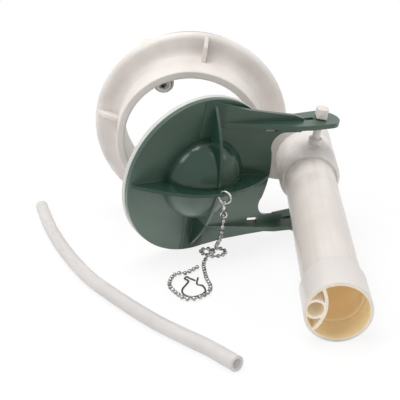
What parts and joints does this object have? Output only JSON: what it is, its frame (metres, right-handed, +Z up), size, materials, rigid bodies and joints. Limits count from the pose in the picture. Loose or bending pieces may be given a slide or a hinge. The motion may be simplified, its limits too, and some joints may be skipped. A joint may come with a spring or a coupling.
{
  "type": "toilet flush valve",
  "caption": "Toilet flush valve lying on its side: round flanged seat, side overflow tube with refill socket, green hinged flapper with pull chain, tank clamps and a loose refill hose.",
  "frame": {"origin": "on the table under the middle of the valve, chain and hose left out", "axes": "+Z up from the table, +Y along the overflow tube toward the flange, +X from the seat toward the tube; the valve lies on its side as pictured"},
  "size_m": [0.1822, 0.2505, 0.1145],
  "materials": {
    "white_plastic": "moulded ABS, semi-gloss",
    "clear_plastic": "slightly translucent moulding",
    "black_rubber": "sponge rubber",
    "green_plastic": "satin moulding with a glossier dome",
    "white_rubber": "soft seal",
    "screw_steel": "zinc plated",
    "nylon": "natural nylon",
    "brass_nut": "plain",
    "hook_wire": "drawn wire",
    "vinyl": "translucent vinyl",
    "nickel": "nickel plated"
  },
  "bodies": {
    "base": {"valve_body": "white_plastic", "overflow_tube": "white_plastic", "overflow_collar": "clear_plastic", "tank_gasket": "black_rubber", "screw_washer_1": "screw_steel", "screw_washer_2": "screw_steel", "screw_washer_3": "screw_steel", "bead_chain": "nickel", "chain_hook": "hook_wire", "refill_hose": "vinyl"},
    "flapper": {"flapper_plate": "green_plastic", "flapper_seal": "white_rubber", "seal_guide": "green_plastic", "chain_ring": "nickel", "chain_link": "nickel"},
    "screw_1": {"mounting_screw_1": "screw_steel"},
    "clamp_1": {"clamp_dog_1": "nylon", "clamp_nut_1": "brass_nut"},
    "screw_2": {"mounting_screw_2": "screw_steel"},
    "clamp_2": {"clamp_dog_2": "nylon", "clamp_nut_2": "brass_nut"},
    "screw_3": {"mounting_screw_3": "screw_steel"},
    "clamp_3": {"clamp_dog_3": "nylon", "clamp_nut_3": "brass_nut"}
  },
  "joints": [
    {"name": "flapper_hinge", "type": "hinge", "parent": "base", "child": "flapper", "pos_m": [0.05442, 0.03424, 0.03935], "axis": [0.1685, -0.1576, 0.973], "range_deg": [-32.4, 22], "deforming": ["bead_chain"]},
    {"name": "screw_turn_1", "type": "hinge", "parent": "base", "child": "screw_1", "pos_m": [-0.02974, 0.08197, 0.08551], "axis": [0, -0.9871, -0.1599], "continuous": true},
    {"name": "screw_turn_2", "type": "hinge", "parent": "base", "child": "screw_2", "pos_m": [-0.02805, 0.09055, 0.03254], "axis": [0, -0.9871, -0.1599], "continuous": true},
    {"name": "screw_turn_3", "type": "hinge", "parent": "base", "child": "screw_3", "pos_m": [0.01758, 0.08603, 0.06047], "axis": [0, -0.9871, -0.1599], "continuous": true},
    {"name": "clamp_swing_1", "type": "hinge", "parent": "base", "child": "clamp_1", "pos_m": [-0.02974, 0.09184, 0.08711], "axis": [0, -0.9871, -0.1599], "range_deg": [0, 110]},
    {"name": "clamp_swing_2", "type": "hinge", "parent": "base", "child": "clamp_2", "pos_m": [-0.02805, 0.10043, 0.03414], "axis": [0, -0.9871, -0.1599], "range_deg": [0, 110]},
    {"name": "clamp_swing_3", "type": "hinge", "parent": "base", "child": "clamp_3", "pos_m": [0.01758, 0.0959, 0.06207], "axis": [0, -0.9871, -0.1599], "range_deg": [0, 110]}
  ]
}
